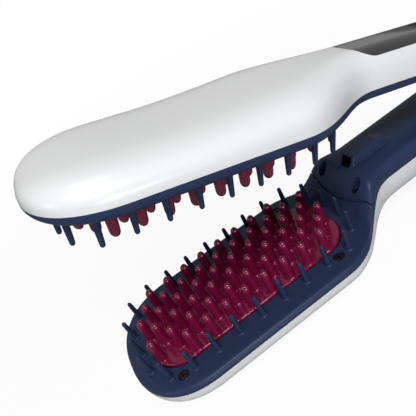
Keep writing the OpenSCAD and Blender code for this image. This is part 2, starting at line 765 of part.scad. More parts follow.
color(white) on_arm(LOWER) shell(LOWER);  // lower_shell
on_arm(LOWER) bezel(LOWER);  // lower_bezel
on_arm(LOWER) brush_plate(LOWER);  // lower_brush_plate
on_arm(LOWER) heat_spreader();  // lower_heat_spreader
on_arm(LOWER) heater();  // lower_heater
on_arm(LOWER) heater_tray();  // lower_heater_tray
on_arm(LOWER) bezel_screws(LOWER);  // lower_bezel_screws
on_arm(LOWER) lower_cover();
on_arm(LOWER) cover_screws(LOWER);  // lower_cover_screws
on_arm(LOWER) ion_nozzle();
on_arm(LOWER) ion_emitter();
on_arm(LOWER) ion_generator();
on_arm(LOWER) ion_lamp();
on_arm(LOWER) power_board();
on_arm(LOWER) cord_gland();
color(white) on_arm(UPPER) shell(UPPER);  // upper_shell
on_arm(UPPER) bezel(UPPER);  // upper_bezel
on_arm(UPPER) brush_plate(UPPER);  // upper_brush_plate
on_arm(UPPER) heat_spreader();  // upper_heat_spreader
on_arm(UPPER) heater();  // upper_heater
on_arm(UPPER) heater_tray();  // upper_heater_tray
on_arm(UPPER) bezel_screws(UPPER);  // upper_bezel_screws
on_arm(UPPER) upper_cover();
on_arm(UPPER) cover_screws(UPPER);  // upper_cover_screws
on_arm(UPPER) handle_inlay();
on_arm(UPPER) display_window();
on_arm(UPPER) button(power_x, power_d);  // power_button
on_arm(UPPER) button(plus_x, temp_d);  // plus_button
on_arm(UPPER) button(minus_x, temp_d);  // minus_button
on_arm(UPPER) control_board();
on_arm(UPPER) button_switches();
on_arm(UPPER) bumpers();
hinge_pin();
hinge_caps();
torsion_spring();
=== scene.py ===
"""A two-armed hair straightening brush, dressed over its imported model.

Pieces are drawn in millimetres, face up, as each arm lies with its head's face at height 0.
place() then puts them on their arm in metres.
"""

from math import cos, pi, radians, sin

import bmesh
import bpy
from bpy.props import FloatProperty, FloatVectorProperty, IntProperty, PointerProperty
from bpy.types import Operator, Panel, PropertyGroup
from mathutils import Matrix, Vector


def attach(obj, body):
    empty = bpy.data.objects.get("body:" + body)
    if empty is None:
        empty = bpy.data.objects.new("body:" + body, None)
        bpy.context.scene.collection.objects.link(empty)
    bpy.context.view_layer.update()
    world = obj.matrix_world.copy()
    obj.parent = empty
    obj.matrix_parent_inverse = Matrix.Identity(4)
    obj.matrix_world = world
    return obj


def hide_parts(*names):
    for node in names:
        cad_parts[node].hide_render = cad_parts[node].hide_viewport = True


bl_info = {
    "name": "Hair Straightening Brush",
    "version": (1, 0, 0),
    "blender": (4, 5, 0),
    "location": "3D View > Sidebar > Brush",
    "description": "Builds a hair straightening brush around its packed model",
    "category": "Object",
}

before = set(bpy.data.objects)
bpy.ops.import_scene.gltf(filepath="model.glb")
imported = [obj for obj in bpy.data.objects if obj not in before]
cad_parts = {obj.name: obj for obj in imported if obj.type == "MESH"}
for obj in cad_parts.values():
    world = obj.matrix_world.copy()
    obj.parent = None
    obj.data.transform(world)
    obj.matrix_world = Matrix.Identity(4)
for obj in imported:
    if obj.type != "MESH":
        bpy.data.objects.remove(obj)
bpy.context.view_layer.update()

MM = 0.001
FINE = 1e-3
CLEAR = 30.0  # beyond any piece, for tools that cut through
PLAY = 0.15  # around pieces that are set into another

# Arms in plan and in height, over each head's face
TIP_X = -64.0
TIP_LEN = 34.0
TIP_N = 2.4
REAR_LEN = 14.0
REAR_N = 3.0
HEAD_W = 68.8
HANDLE_W = 32.6
HEAD_DEPTH = 15.5
BEZEL_EDGE = 3.0
FACE_N = (2.4, 3.6)
BACK_N = (2.8, 2.2)
FLAT = 0.28
PART_GAP = 0.15
SEAM_GAP = 0.5
SEAM_R = 70.0
WALL = 2.0
SWELL_RUN = (100.0, 132.0)
FINE_RUN = (28.0, 134.0)
FINE_STEP = 1.7
COARSE_STEP = 4.0
HINGE_X = 182.6
HINGE_RISE = 14.8
HEAD_GAP = 19.0
OPEN_ANGLE = radians(16.85)
HINGE = Vector((HINGE_X, 0, HEAD_DEPTH + HINGE_RISE))

# Brush plates and pins
PLATE_LEN = 104.7
PLATE_W = 41.0
PLATE_R = 15.0
PLATE_RISE = 1.2
PLATE_GAP = 0.5
FLANGE = (30.0, 22.5)
FLANGE_TOP = -2.9
FLANGE_GAP = 0.2
TOOTH_PITCH = 10.25
TOOTH_MID = 3.25
ROW_PITCH = 7.2
TOOTH_SLOPE = 1.35
TOOTH_BROAD = 1.16
TOOTH_R = 1.98
TOOTH_SIDE = ((1.94, 3.4), (1.89, 5.8), (1.81, 7.6))
TOOTH_TOP = (1.72, 10.0)
TOOTH_DOME = 2.8
TOOTH_ROWS = ((8, 0), (10, -3), (10, -2), (10, -3), (10, -2), (8, -1))
PIN_PITCH = 12.0
PIN_Y = 25.0
PIN_ROWS = 8
PIN_R = 1.4
PIN_TOP = (1.0, 10.9)
PIN_DOME = 1.1
ARC_FOUR = ((8.6, 16.8), (11.5, 5.7))
ARC_FIVE = ((11.2, 21.3), (17.5, 11.8), (17.8, 0))

# Screws: head radius, head height and shank in the bezels, and the bores
BEZEL_SCREW = (2.5, 1.5, 6.4)
BEZEL_SEAT = -1.9
COVER_SHANK = 6.5
COVER_HEAD_H = 1.6
SHANK_BORE_R = 1.4
WELL_R = 2.5
BOSS_R = 3.3
CROSS_HALF = 0.36
CROSS_REACH = 0.56

# Hinge
KNUCKLE_R = 8.0
KNUCKLE_W = 16.0
KNUCKLE_ROOM = 1.6
EAR_T = 5.2
EAR_Y = KNUCKLE_W / 2 + 0.4
EAR_END = EAR_Y + EAR_T
EAR_LIFT = 0.4
PIN_BORE_R = 2.55
CAP_R = 3.7
CAP_T = 1.6
CAP_SEAT_R = 4.0
CAP_LIP = 0.9
WEB_RUN = 9.0
SPRING_ROOM = 4.16
BUMPERS = ((104.0, -9.0, 0), (104.0, 9.0, 0))
BUMPER_R = 2.5

# Hood over the ion outlet, the tray that clears it, and the lamp
HOOD_FRONT = 69.0
HOOD_REAR = 103.4
HOOD_ROOF = (74.0, 89.0)
HOOD_FOOT = 15.0
HOOD_TOP = 23.0
HOOD_MIDDLE = (80.0, 20.0)
HOOD_HALF = 5.96
HOOD_LEAN = 0.245
HOOD_ROUND = 0.55
POCKET = ((72.9, 19.9), (75.0, 22.1), (88.4, 22.1), (92.6, 19.9))
POCKET_DEPTH = 0.5
OUTLET_W = 6.2
OUTLET_H = 4.8
OUTLET_FLOOR = 17.6
OUTLET_REAR = 88.0
LINER = (71.2, 84.0)
LINER_BROW = 73.7
LINER_LIP = 0.25
TRAY = (67.8, 99.2)
TRAY_HALF = 6.3
TRAY_FLOOR = -5.2
TRAY_TOP = -2.1
TRAY_WALL = 1.4
LAMP_X = 119.0
LAMP_R = 1.7
LAMP_FOOT = 16.0
LAMP_TOP = 19.2

# Inlay, display, buttons and cord gland
INLAY_X = 74.0
INLAY_LEN = 92.0
INLAY_W = 24.6
INLAY_R = 8.0
INLAY_T = 1.3
INLAY_LEDGE = 3.0
DISPLAY_X = 123.0
DISPLAY_HALF = (9.0, 4.5)
DISPLAY_Z = (-20.8, -20.1)
DISPLAY_GAP = 0.1
BUTTONS = (("power", 155.0, 4.5), ("plus", 138.0, 3.2), ("minus", 146.0, 3.2))
BUTTON_RISE = 0.5
BUTTON_RIM = 0.55
BUTTON_STEM = 5.1
SIGN_Z = (-21.5, -21.06)
SIGN_HALF = 0.25
SIGN_REACH = 1.4
GLAND_Z = 12.5 - HEAD_DEPTH
GLAND_R = 5.5
GLAND_BORE_R = 3.1
GLAND_RUN = 7.4


class Arm:
    """What one arm is called, how its outline runs and where its fittings are."""

    def __init__(self, **facts):
        self.__dict__.update(facts)


LOWER = Arm(
    name="lower",
    body="lower_arm",
    neck=(38, 82),
    rear=197.6,
    rim=-3.0,
    part=11.0,
    crown=19.0,
    back=-7.0,
    part_run=(50, 75),
    crown_run=(54, 70),
    back_run=(52, 87),
    edge=36.0,
    seam_x=60.5,
    plate_x=0.0,
    pin_first=-38.6,
    tip_arc=ARC_FIVE,
    heel_arc=ARC_FOUR,
    bezel_screws=((-44.4, -24.2), (-53, 16.8), (39.4, -25.1), (39.4, 25.1)),
    cover_screws=((66, 11.8), (165, 9.4)),
    cover_seat=3.6,
    cover_wall=WALL,
    matrix=Matrix.Translation((0, 0, HEAD_DEPTH)),
)
UPPER = Arm(
    name="upper",
    body="upper_arm",
    neck=(32, 77),
    rear=173.2,
    rim=-4.6,
    part=-5.6,
    crown=-1.6,
    back=-21.0,
    part_run=(44, 75),
    crown_run=(54, 69),
    back_run=(-15, 75),
    edge=5.0,
    seam_x=66.5,
    plate_x=0.8,
    pin_first=-43.7,
    tip_arc=ARC_FOUR,
    heel_arc=ARC_FIVE,
    bezel_screws=((-48.7, -20.8), (-48.7, 20.8), (45.9, -23.4), (45.9, 23.4)),
    cover_screws=((79, 11.9), (165, 9.4)),
    cover_seat=1.4,
    cover_wall=1.7,
    matrix=Matrix.Translation(HINGE)
    @ Matrix.Rotation(OPEN_ANGLE, 4, "Y")
    @ Matrix.Translation(-HINGE)
    @ Matrix.Translation((0, 0, HEAD_DEPTH + HEAD_GAP))
    @ Matrix.Rotation(pi, 4, "X"),
)
ARMS = (LOWER, UPPER)


# ---- settings


def length(name, default_mm, top_mm, description):
    """A size that a user can change, kept in metres."""
    return FloatProperty(
        name=name,
        description=description,
        default=default_mm * MM,
        min=0.0,
        max=top_mm * MM,
        precision=5,
        unit="LENGTH",
    )


def colour(name, default, description):
    """A colour that a user can change."""
    return FloatVectorProperty(
        name=name, description=description, default=default, size=3, min=0, max=1, subtype="COLOR"
    )


class BrushSizes(PropertyGroup):
    """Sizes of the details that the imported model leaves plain."""

    edge_round: length("Edge round", 0.35, 0.8, "Rounding of the moulded edges")
    pin_foot: length("Pin foot", 0.65, 0.8, "Width of the fillet at each pin's foot")
    tooth_foot: length("Tooth foot", 0.6, 0.9, "Width of the fillet at each tooth's foot")
    plate_edge: length("Plate edge", 0.6, 1.0, "Rounding of the brush plates' rims")
    slot_depth: length("Screw recess", 0.9, 1.2, "Depth of the cross in the screws' heads")
    round_steps: IntProperty(
        name="Round steps", description="Sides of the teeth and pins", default=20, min=8, max=48
    )


class BrushColours(PropertyGroup):
    """Colours of the finishes."""

    shell: colour("Shell", (0.80, 0.803, 0.805), "Pearl white casings")
    navy: colour("Navy", (0.023, 0.038, 0.094), "Bezels and handle covers")
    coating: colour("Coating", (0.205, 0.004, 0.046), "Brush plates and their teeth")
    black: colour("Black", (0.006, 0.006, 0.008), "Screws and small black mouldings")
    inlay: colour("Inlay", (0.018, 0.018, 0.020), "Handle inlay")
    button: colour("Buttons", (0.11, 0.11, 0.115), "Buttons")
    lens: colour("Lamp lens", (0.55, 0.012, 0.012), "Lens of the ion lamp")
    floor: colour("Floor", (0.38, 0.38, 0.38), "Floor of the stage, as the object sees it")


# ---- outline of the arms


def blend(a, b, t):
    return a + (b - a) * t


def ease(a, b, x):
    """Smooth step from 0 at a to 1 at b."""
    t = min(1, max(0, (x - a) / (b - a)))
    return t * t * (3 - 2 * t)


def nose(d, n):
    """Rise from 0 at an end to 1 at the full section, as a superellipse."""
    t = 1 - min(1, max(0, d))
    return max(0, 1 - t**n) ** (1 / n)


def quarter(steps):
    """Angles of a quarter turn."""
    return [0.5 * pi * i / steps for i in range(steps + 1)]


def ends(arm, x, inset):
    front = nose((x - TIP_X - inset) / (TIP_LEN - inset), TIP_N)
    return front * nose((arm.rear - inset - x) / (REAR_LEN - inset), REAR_N)


def half_width(arm, x, inset=0.0):
    return (blend(HEAD_W, HANDLE_W, ease(*arm.neck, x)) / 2 - inset) * ends(arm, x, inset)


def part_z(arm, x):
    return blend(arm.rim, arm.part, ease(*arm.part_run, x))


def crown_z(arm, x):
    return blend(0, arm.crown, ease(*arm.crown_run, x))


def back_z(arm, x):
    z = blend(-HEAD_DEPTH, arm.back, ease(*arm.back_run, x))
    return blend(z, -HEAD_DEPTH, ease(*SWELL_RUN, x)) if arm is LOWER else z


def stations(arm, inset):
    """Places of the cross sections, closer together where the shape turns."""
    a, b = TIP_X + inset, arm.rear - inset
    k, q = TIP_LEN - inset, REAR_LEN - inset
    tip = [a + k * (1 - cos(radians(t))) for t in range(0, 90, 4)]
    rear = [b - q * (1 - cos(radians(t))) for t in range(90, -1, -6)]
    middle, x = [], a + k
    while x < rear[0] - 1:
        middle.append(x)
        x += FINE_STEP if FINE_RUN[0] < x < FINE_RUN[1] else COARSE_STEP
    return tip + middle + rear


def half_section(w, z0, z1, edge, n, steps):
    """From one side at height z0 to the flat strip at z1, with a superelliptic edge."""
    r = min(edge, w * (1 - FLAT))
    return [
        (w - r + r * max(0, cos(a)) ** (2 / n), z0 + (z1 - z0) * max(0, sin(a)) ** (2 / n))
        for a in quarter(steps)
    ]


def ring(arm, side, x, inset, lift, steps):
    """One closed cross section of an arm's back or face."""
    w, z, e = half_width(arm, x, inset), part_z(arm, x), ends(arm, x, inset)
    if side == "back":
        top = z + (back_z(arm, x) + inset - z) * e
        square = blend(*BACK_N, ease(*arm.neck, x))
        half = half_section(w, z, top, w, square, steps)
        over = z + lift
    else:
        z += PART_GAP
        t = ease(*arm.crown_run, x)
        top = z + (crown_z(arm, x) - inset - z) * e
        edge = blend(BEZEL_EDGE, arm.edge, t) - inset / 2
        half = half_section(w, z, top, edge, blend(*FACE_N, t), steps)
        over = z - lift
    loop = half + [(-y, z) for y, z in reversed(half)]
    if lift:
        loop = [(w, over)] + loop + [(-w, over)]
    return [Vector((x, y, z)) for y, z in loop]


# ---- shapes


def swept(arm, side, inset=0.0, lift=0.0, steps=18):
    """Closed form swept along an arm, drawn in by inset and run past the joint line by lift."""
    places = stations(arm, inset)
    rings = [ring(arm, side, x, inset, lift, steps) for x in places]
    rows, round_ = len(places) - 1, len(rings[0])
    bm = bmesh.new()
    bmesh.ops.create_grid(bm, x_segments=rows, y_segments=round_, size=1)
    for v in bm.verts:
        i, j = round((v.co.x + 1) / 2 * rows), round((v.co.y + 1) / 2 * round_)
        v.co = rings[i][j % round_]
    bmesh.ops.remove_doubles(bm, verts=bm.verts, dist=FINE)
    bmesh.ops.recalc_face_normals(bm, faces=bm.faces)
    return bm


def block(x0, x1, y0, y1, z0, z1):
    """Box between two corners."""
    bm = bmesh.new()
    bmesh.ops.create_cube(bm, size=1)
    size = Matrix.Diagonal((x1 - x0, y1 - y0, z1 - z0, 1))
    middle = Matrix.Translation(((x0 + x1) / 2, (y0 + y1) / 2, (z0 + z1) / 2))
    bmesh.ops.transform(bm, matrix=middle @ size, verts=bm.verts)
    return bm


def bar(x0, x1, half, z0, z1):
    """Box across the middle plane."""
    return block(x0, x1, -half, half, z0, z1)


def prism(outline, z0, z1):
    """Flat outline raised from z0 to z1."""
    bm = bmesh.new()
    base = bm.faces.new([bm.verts.new((x, y, z0)) for x, y in outline])
    raised = bmesh.ops.extrude_face_region(bm, geom=[base])["geom"]
    top = [v for v in raised if isinstance(v, bmesh.types.BMVert)]
    bmesh.ops.translate(bm, vec=(0, 0, z1 - z0), verts=top)
    bmesh.ops.recalc_face_normals(bm, faces=bm.faces)
    return bm


def turned(profile, steps):
    """Radius and height pairs turned about Z. A pair at radius 0 closes the end."""
    bm = bmesh.new()
    verts = [bm.verts.new((r, 0, z)) for r, z in profile]
    edges = [bm.edges.new(pair) for pair in zip(verts, verts[1:])]
    bmesh.ops.spin(
        bm,
        geom=verts + edges,
        cent=(0, 0, 0),
        axis=(0, 0, 1),
        angle=2 * pi,
        steps=steps,
        use_merge=True,
    )
    bmesh.ops.remove_doubles(bm, verts=bm.verts, dist=FINE)
    bmesh.ops.recalc_face_normals(bm, faces=bm.faces)
    return bm


def rod(r, z0, z1, steps=48):
    return turned([(0, z0), (r, z0), (r, z1), (0, z1)], steps)


def dome(r, z, height, steps):
    """Profile of a rounded top from radius r at z, height high."""
    rise = [(r * cos(a), z + height * sin(a)) for a in quarter(steps)[1:-1]]
    return rise + [(0, z + height)]


def flare(r, foot, height, steps):
    """Profile of the fillet at a foot, from radius r + foot up to r."""
    return [(r + foot * (1 - sin(a)), height * (1 - cos(a))) for a in quarter(steps)]


def moved(bm, *steps):
    """The same shape after each of the matrices in turn."""
    for m in steps:
        bmesh.ops.transform(bm, matrix=m, verts=bm.verts)
    return bm


def shifted(bm, x, y, z=0.0):
    return moved(bm, Matrix.Translation((x, y, z)))


def across(bm, x=0.0, z=0.0):
    """A shape along Z is laid along Y, with its axis at x and z."""
    return moved(bm, Matrix.Rotation(pi / 2, 4, "X"), Matrix.Translation((x, 0, z)))


def along(bm, x, z):
    """A shape along Z is laid along X, with its foot at x and its axis at z."""
    return moved(bm, Matrix.Rotation(pi / 2, 4, "Y"), Matrix.Translation((x, 0, z)))


def baked(bm, name="part"):
    """Uses a shape up and returns its mesh."""
    mesh = bpy.data.meshes.new(name)
    bm.to_mesh(mesh)
    bm.free()
    return mesh


def together(*parts):
    """Several shapes in one."""
    bm = bmesh.new()
    for part in parts:
        mesh = baked(part)
        bm.from_mesh(mesh)
        bpy.data.meshes.remove(mesh)
    return bm


def copies(bm, places):
    """A copy of a shape at each place."""
    mesh = baked(bm)
    out = bmesh.new()
    for at in places:
        before = len(out.verts)
        out.from_mesh(mesh)
        out.verts.ensure_lookup_table()
        bmesh.ops.translate(out, vec=at, verts=out.verts[before:])
    bpy.data.meshes.remove(mesh)
    return out


def rounded(size_x, size_y, r, cx=0.0, steps=14):
    """Outline of a rectangle with round corners, its middle at cx."""
    points = []
    for k, (sx, sy) in enumerate(((1, 1), (-1, 1), (-1, -1), (1, -1))):
        x, y = cx + sx * (size_x / 2 - r), sy * (size_y / 2 - r)
        for i in range(steps + 1):
            a = 0.5 * pi * (k + i / steps)
            points.append((x + r * cos(a), y + r * sin(a)))
    return points


def seam_block(arm, head, gap):
    """Everything on the head's or the handle's side of the seam's arc."""
    middle = arm.seam_x + SEAM_R + gap
    turn = [radians(t) for t in range(-50, 51, 2)]
    arc = [(middle - SEAM_R * cos(t), SEAM_R * sin(t)) for t in turn]
    far = -200 if head else 300
    return prism(arc + [(far, arc[-1][1]), (far, arc[0][1])], -50, 50)


def round_edges(bm, edges, width, segments, clamp=True):
    bmesh.ops.bevel(
        bm,
        geom=edges,
        offset=width,
        offset_type="OFFSET",
        segments=segments,
        profile=0.5,
        affect="EDGES",
        clamp_overlap=clamp,
        material=-1,
    )


# ---- pieces

FINISH = {}


def solid(bm, name="tool"):
    """New object in the scene with that shape."""
    piece = bpy.data.objects.new(name, baked(bm, name))
    bpy.context.scene.collection.objects.link(piece)
    return piece


def discard(piece):
    mesh = piece.data
    bpy.data.objects.remove(piece)
    bpy.data.meshes.remove(mesh)


def shape_of(piece):
    """A shape with the mesh of a piece."""
    bm = bmesh.new()
    bm.from_mesh(piece.data)
    return bm


def settle(piece):
    """Applies what modifiers the piece has."""
    graph = bpy.context.evaluated_depsgraph_get()
    mesh = bpy.data.meshes.new_from_object(piece.evaluated_get(graph))
    old = piece.data
    piece.modifiers.clear()
    piece.data = mesh
    bpy.data.meshes.remove(old)


def carve(piece, bm, operation="DIFFERENCE"):
    """Cuts a shape out of a piece, adds it or keeps what they share."""
    tool = solid(bm)
    step = piece.modifiers.new("carve", "BOOLEAN")
    step.operation = operation
    step.solver = "EXACT"
    step.object = tool
    settle(piece)
    discard(tool)


def carved(bm, tool, operation="DIFFERENCE"):
    """The same for two shapes that aren't pieces yet."""
    piece = solid(bm)
    carve(piece, tool, operation)
    out = shape_of(piece)
    discard(piece)
    return out


def soften(piece, width, angle=38.0, segments=2):
    """Rounds the sharp edges of a moulded piece."""
    bm = shape_of(piece)
    bmesh.ops.remove_doubles(bm, verts=bm.verts, dist=0.004)
    bmesh.ops.dissolve_degenerate(bm, edges=bm.edges, dist=0.004)
    sharp = [
        e
        for e in bm.edges
        if len(e.link_faces) == 2 and e.calc_face_angle(0) > radians(angle) and e.is_manifold
    ]
    round_edges(bm, sharp, width, segments)
    bm.to_mesh(piece.data)
    bm.free()


def add(piece, bm):
    """Adds a closed shape that stands in a piece's surface."""
    out = together(shape_of(piece), bm)
    out.to_mesh(piece.data)
    out.free()


def place(piece, name, arm, look, stands_for, body=None, angle=32.0):
    """Puts a piece on its arm in metres, smooths and dresses it and hides the imported node it
    stands for.
    """
    piece.name = name
    piece.data.name = name
    piece.data.transform(Matrix.Scale(MM, 4) @ arm.matrix)
    piece.data.polygons.foreach_set("use_smooth", [True] * len(piece.data.polygons))
    piece.data.set_sharp_from_angle(angle=radians(angle))
    level = piece.modifiers.new("level", "WEIGHTED_NORMAL")
    level.keep_sharp = True
    settle(piece)
    piece.data.materials.clear()
    piece.data.materials.append(FINISH[look])
    piece.data.update()
    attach(piece, body or arm.body)
    if stands_for:
        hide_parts(stands_for)


def dress(look, *nodes):
    """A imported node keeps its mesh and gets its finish."""
    for name in nodes:
        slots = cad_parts[name].data.materials
        slots.clear()
        slots.append(FINISH[look])


# ---- finishes

BUMP_DEPTH = 0.02
METAL_BUMP = 0.15
PLASTICS = {
    # label, tint or its setting, roughness, gloss spread, cloud size, grain size, bump, deep tint
    "shell": ("Pearl Casing", "shell", 0.33, 0.02, 18.0, 2600.0, 0.015, 0.985),
    "navy": ("Satin Navy", "navy", 0.4, 0.06, 60.0, 3200.0, 0.22, 0.82),
    "coating": ("Magenta Coating", "coating", 0.24, 0.04, 90.0, 1500.0, 0.08, 0.8),
    "black": ("Black Screw", "black", 0.34, 0.08, 200.0, 2500.0, 0.2, 0.7),
    "soft": ("Black Moulding", "black", 0.6, 0.06, 120.0, 2600.0, 0.3, 0.8),
    "duct": ("Dark Duct", (0.002, 0.002, 0.0025), 0.9, 0.02, 120.0, 2600.0, 0.2, 0.8),
    "rubber": ("Soft Rubber", (0.014, 0.014, 0.015), 0.8, 0.05, 150.0, 1800.0, 0.4, 0.8),
    "inlay": ("Gloss Inlay", "inlay", 0.16, 0.02, 30.0, 2400.0, 0.03, 0.85),
    "glass": ("Display Glass", (0.003, 0.003, 0.005), 0.12, 0.01, 20.0, 900.0, 0.01, 0.8),
    "button": ("Satin Button", "button", 0.4, 0.05, 90.0, 3000.0, 0.2, 0.85),
    "mark": ("Button Mark", (0.62, 0.63, 0.65), 0.45, 0.04, 90.0, 3000.0, 0.1, 0.9),
    "lens": ("Red Lens", "lens", 0.1, 0.02, 300.0, 900.0, 0.02, 0.6),
    "board": ("Circuit Board", (0.014, 0.11, 0.04), 0.45, 0.05, 400.0, 1600.0, 0.2, 0.6),
    "potting": ("Potted Module", (0.05, 0.055, 0.06), 0.5, 0.05, 200.0, 900.0, 0.3, 0.7),
    "ceramic": ("Heater Wrap", (0.42, 0.37, 0.30), 0.7, 0.05, 200.0, 1500.0, 0.5, 0.75),
    "tray": ("Heat Tray", (0.40, 0.28, 0.16), 0.6, 0.05, 90.0, 1800.0, 0.3, 0.8),
}
GLOSS = {
    "shell": {"Coat Weight": 0.35, "Coat Roughness": 0.16},
    "navy": {"Specular IOR Level": 0.2},
    "coating": {"Coat Weight": 0.8, "Coat Roughness": 0.05, "Specular IOR Level": 0.12},
    "duct": {"Specular IOR Level": 0.05},
    "inlay": {"Coat Weight": 0.8, "Coat Roughness": 0.04},
    "glass": {"Specular IOR Level": 0.25},
    "lens": {"Coat Weight": 1.0, "Coat Roughness": 0.03},
}
METALS = {
    # label, tint, roughness, line size
    "steel": ("Plain Steel", (0.58, 0.59, 0.61), 0.28, 1200.0),
    "aluminium": ("Pressed Aluminium", (0.74, 0.75, 0.77), 0.36, 500.0),
    "brass": ("Bare Brass", (0.72, 0.50, 0.19), 0.26, 1500.0),
}


def group(name, inputs):
    """Shader group with those inputs, a surface's outputs and a start in Object coordinates."""
    tree = bpy.data.node_groups.new(name, "ShaderNodeTree")
    for label, value in inputs.items():
        kind = "NodeSocketColor" if isinstance(value, tuple) else "NodeSocketFloat"
        socket = tree.interface.new_socket(label, in_out="INPUT", socket_type=kind)
        socket.default_value = value
    for label in ("Colour", "Roughness", "Height"):
        kind = "NodeSocketColor" if label == "Colour" else "NodeSocketFloat"
        tree.interface.new_socket(label, in_out="OUTPUT", socket_type=kind)
    given = tree.nodes.new("NodeGroupInput").outputs
    out = tree.nodes.new("NodeGroupOutput").inputs
    at = tree.nodes.new("ShaderNodeTexCoord").outputs["Object"]
    return tree, given, out, at


def node(tree, kind, inputs=None, **settings):
    """New node with its settings, and its inputs set or linked."""
    n = tree.nodes.new(kind)
    for key, value in settings.items():
        setattr(n, key, value)
    for key, value in (inputs or {}).items():
        if isinstance(value, bpy.types.NodeSocket):
            tree.links.new(value, n.inputs[key])
        else:
            n.inputs[key].default_value = value
    return n


def mixed(tree, factor, a, b):
    return node(tree, "ShaderNodeMix", {0: factor, 6: a, 7: b}, data_type="RGBA").outputs[2]


def ranged(tree, value, low, high, start=0.0, end=1.0):
    """A value between start and end, spread from low to high."""
    limits = {0: value, 1: start, 2: end, 3: low, 4: high}
    return node(tree, "ShaderNodeMapRange", limits).outputs[0]


def reckoned(tree, operation, *values):
    return node(tree, "ShaderNodeMath", dict(enumerate(values)), operation=operation).outputs[0]


def noise(tree, at, scale, detail):
    inputs = {"Vector": at, "Scale": scale, "Detail": detail}
    return node(tree, "ShaderNodeTexNoise", inputs).outputs[0]


def moulded_group():
    """Moulded plastic: clouded tone, uneven gloss and a fine grain on the surface."""
    tree, given, out, at = group(
        "Moulded Grain",
        {
            "Colour": (0.8, 0.8, 0.8, 1),
            "Deep Colour": (0.7, 0.7, 0.7, 1),
            "Roughness": 0.4,
            "Gloss Spread": 0.05,
            "Cloud Size": 40.0,
            "Grain Size": 3000.0,
        },
    )
    cloud = noise(tree, at, given["Cloud Size"], 3.0)
    grain = noise(tree, at, given["Grain Size"], 2.0)
    cells = node(tree, "ShaderNodeTexVoronoi", {"Vector": at, "Scale": given["Grain Size"]})
    tone = ranged(tree, cloud, 0.0, 1.0)
    tree.links.new(mixed(tree, tone, given["Colour"], given["Deep Colour"]), out["Colour"])
    swing = ranged(tree, grain, -1.0, 1.0)
    gloss = reckoned(tree, "MULTIPLY_ADD", swing, given["Gloss Spread"], given["Roughness"])
    tree.links.new(gloss, out["Roughness"])
    tree.links.new(reckoned(tree, "ADD", grain, cells.outputs[0]), out["Height"])
    return tree


def metal_group():
    """Drawn or ground metal: fine lines one way, with a clouded gloss."""
    tree, given, out, at = group(
        "Ground Metal", {"Colour": (0.6, 0.6, 0.6, 1), "Roughness": 0.3, "Line Size": 900.0}
    )
    drawn = node(tree, "ShaderNodeMapping", {"Vector": at, "Scale": (1.0, 0.08, 1.0)})
    lines = noise(tree, drawn.outputs[0], given["Line Size"], 4.0)
    dark = mixed(tree, 0.25, given["Colour"], (0.02, 0.02, 0.02, 1))
    tree.links.new(mixed(tree, lines, dark, given["Colour"]), out["Colour"])
    swing = ranged(tree, lines, -0.12, 0.12)
    tree.links.new(reckoned(tree, "ADD", swing, given["Roughness"]), out["Roughness"])
    tree.links.new(lines, out["Height"])
    return tree


def finish(name, effect, values, bump, shader):
    """Material whose colour, gloss and surface come from a shared effect."""
    material = bpy.data.materials.new(name)
    material.use_nodes = True
    tree = material.node_tree
    bsdf = tree.nodes["Principled BSDF"]
    made = tree.nodes.new("ShaderNodeGroup")
    made.node_tree = effect
    for key, value in values.items():
        made.inputs[key].default_value = (*value, 1) if isinstance(value, tuple) else value
    tree.links.new(made.outputs["Colour"], bsdf.inputs["Base Color"])
    tree.links.new(made.outputs["Roughness"], bsdf.inputs["Roughness"])
    relief = {"Strength": bump, "Distance": BUMP_DEPTH * MM, "Height": made.outputs["Height"]}
    tree.links.new(node(tree, "ShaderNodeBump", relief).outputs[0], bsdf.inputs["Normal"])
    for key, value in shader.items():
        bsdf.inputs[key].default_value = value
    return material


def make_finishes():
    """All the finishes, by name."""
    colours = bpy.context.scene.brush_colours
    plastic, metal = moulded_group(), metal_group()
    made = {}
    for key, (label, tint, roughness, spread, cloud, grain, bump, deep) in PLASTICS.items():
        if isinstance(tint, str):
            tint = tuple(getattr(colours, tint))
        values = {
            "Colour": tint,
            "Deep Colour": tuple(c * deep for c in tint),
            "Roughness": roughness,
            "Gloss Spread": spread,
            "Cloud Size": cloud,
            "Grain Size": grain,
        }
        made[key] = finish(label, plastic, values, bump, GLOSS.get(key, {}))
    for key, (label, tint, roughness, lines) in METALS.items():
        values = {"Colour": tint, "Roughness": roughness, "Line Size": lines}
        made[key] = finish(label, metal, values, METAL_BUMP, {"Metallic": 1.0})
    return made


# ---- moulded parts


def sizes():
    return bpy.context.scene.brush_sizes


def mm(size):
    return size / MM


def inlay_block(grow):
    """The inlay's outline, let out by grow, as a block through the upper back."""
    middle = INLAY_X + INLAY_LEN / 2
    outline = rounded(INLAY_LEN + 2 * grow, INLAY_W + 2 * grow, INLAY_R + grow, middle)
    return prism(outline, -CLEAR, -10)


class BRUSH_OT_casings(Operator):
    """Back casings of both arms, swept from tip to rear as hollow mouldings"""

    bl_idname = "brush.casings"
    bl_label = "Casings"

    def execute(self, context):
        for arm in ARMS:
            shell = solid(swept(arm, "back"))
            carve(shell, swept(arm, "back", WALL, lift=2.0))
            if arm is LOWER:
                carve(shell, along(rod(GLAND_R + 0.1, 0, 20), arm.rear - REAR_LEN, GLAND_Z))
            else:
                carve(shell, carved(inlay_block(PLAY), swept(arm, "back", INLAY_T + 0.1)))
                carve(shell, inlay_block(-INLAY_LEDGE))
            soften(shell, mm(sizes().edge_round) / 2, angle=60)
            place(shell, arm.name + "_casing", arm, "shell", arm.name + "_shell")
        return {"FINISHED"}


def pin_shape():
    """Tapered spacer pin with a round top."""
    foot = mm(sizes().pin_foot)
    profile = [(0, -1), (PIN_R + foot, -1)] + flare(PIN_R, foot, 0.9, 4)
    profile += [(1.2, 5.6), PIN_TOP] + dome(*PIN_TOP, PIN_DOME, 5)
    return turned(profile, sizes().round_steps)


